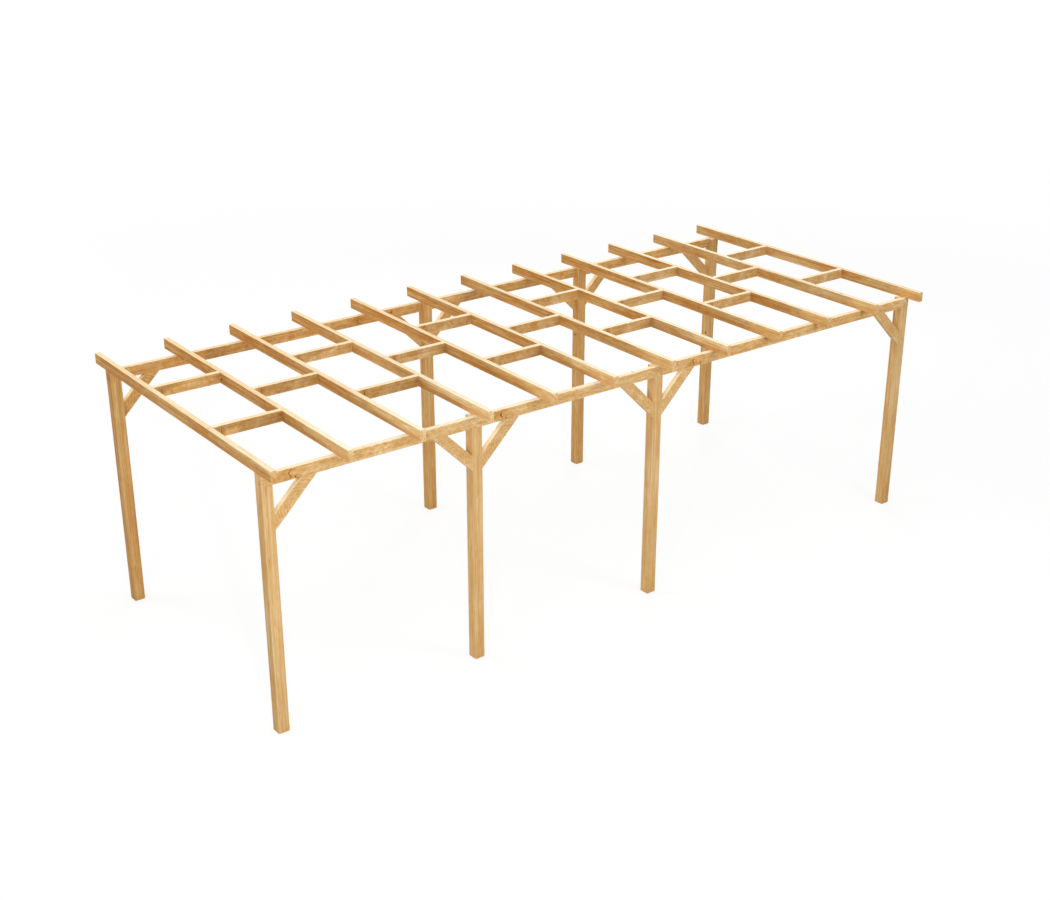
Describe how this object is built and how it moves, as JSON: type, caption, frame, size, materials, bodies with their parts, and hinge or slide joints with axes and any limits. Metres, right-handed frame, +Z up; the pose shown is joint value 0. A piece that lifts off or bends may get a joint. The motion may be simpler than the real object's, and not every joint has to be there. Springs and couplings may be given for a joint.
{
  "type": "wooden pergola",
  "caption": "Long free-standing open-frame timber pergola: two rows of square posts with knee braces carry beams, level rafters and staggered noggins.",
  "frame": {"origin": "middle of the bounding box at ground level: midway along the beams and midway along the rafters", "axes": "+X along the beams, +Y along the rafters towards the rear row, +Z up"},
  "size_m": [9, 4, 2.92],
  "materials": {
    "post_timber": "planed, untreated softwood",
    "beam_timber": "planed, untreated softwood",
    "brace_timber": "planed, untreated softwood",
    "rafter_timber": "planed, untreated softwood",
    "noggin_timber": "planed, untreated softwood"
  },
  "bodies": {
    "root": {"front_beam_left": "beam_timber", "front_beam_middle": "beam_timber", "front_beam_right": "beam_timber", "front_post_1": "post_timber", "front_post_2": "post_timber", "front_post_3": "post_timber", "front_post_4": "post_timber", "front_post_1_braces": "brace_timber", "front_post_2_braces": "brace_timber", "front_post_3_braces": "brace_timber", "front_post_4_braces": "brace_timber", "rear_beam_left": "beam_timber", "rear_beam_middle": "beam_timber", "rear_beam_right": "beam_timber", "rear_post_1": "post_timber", "rear_post_2": "post_timber", "rear_post_3": "post_timber", "rear_post_4": "post_timber", "rear_post_1_braces": "brace_timber", "rear_post_2_braces": "brace_timber", "rear_post_3_braces": "brace_timber", "rear_post_4_braces": "brace_timber", "rafter_01": "rafter_timber", "rafter_02": "rafter_timber", "rafter_03": "rafter_timber", "rafter_04": "rafter_timber", "rafter_05": "rafter_timber", "rafter_06": "rafter_timber", "rafter_07": "rafter_timber", "rafter_08": "rafter_timber", "rafter_09": "rafter_timber", "rafter_10": "rafter_timber", "rafter_11": "rafter_timber", "rafter_12": "rafter_timber", "noggins_bay_01": "noggin_timber", "noggins_bay_02": "noggin_timber", "noggins_bay_03": "noggin_timber", "noggins_bay_04": "noggin_timber", "noggins_bay_05": "noggin_timber", "noggins_bay_06": "noggin_timber", "noggins_bay_07": "noggin_timber", "noggins_bay_08": "noggin_timber", "noggins_bay_09": "noggin_timber", "noggins_bay_10": "noggin_timber", "noggins_bay_11": "noggin_timber"}
  },
  "joints": []
}
